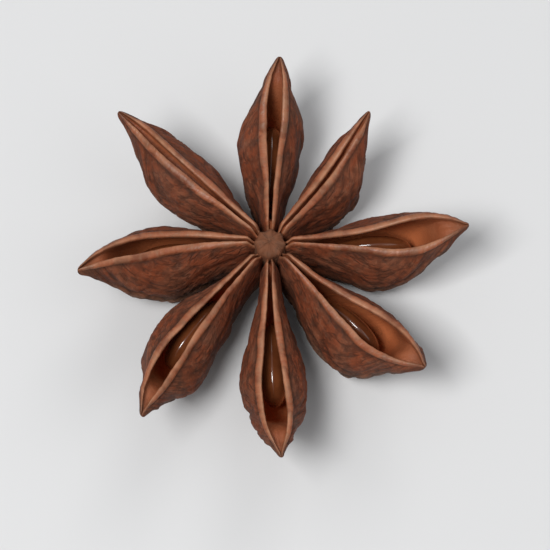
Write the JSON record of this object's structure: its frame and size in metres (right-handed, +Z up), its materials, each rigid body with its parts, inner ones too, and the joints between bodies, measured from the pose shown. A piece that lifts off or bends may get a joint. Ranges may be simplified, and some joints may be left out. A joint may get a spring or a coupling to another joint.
{
  "type": "star anise pod",
  "caption": "Dried star anise pod: a woody star of boat-shaped carpels round a short column, split along their seams over glossy seeds.",
  "frame": {"origin": "centre of the broken stalk's flat end, in the plane that the pod rests on", "axes": "+Z up the column, with the carpels' seams on top; +X within two degrees of the direction of a gaping carpel; +Y to its left, along another carpel"},
  "size_m": [0.0308, 0.0337, 0.01],
  "materials": {
    "husk": "dry wrinkled skin outside, greyish brown with tan patches; smooth satin reddish-brown rims and inner walls",
    "seed": "polished, hard and glossy, chestnut brown"
  },
  "bodies": {
    "root": {"husk": "husk", "seed_1": "seed", "seed_2": "seed", "seed_3": "seed", "seed_4": "seed", "seed_5": "seed", "seed_6": "seed"}
  },
  "joints": []
}
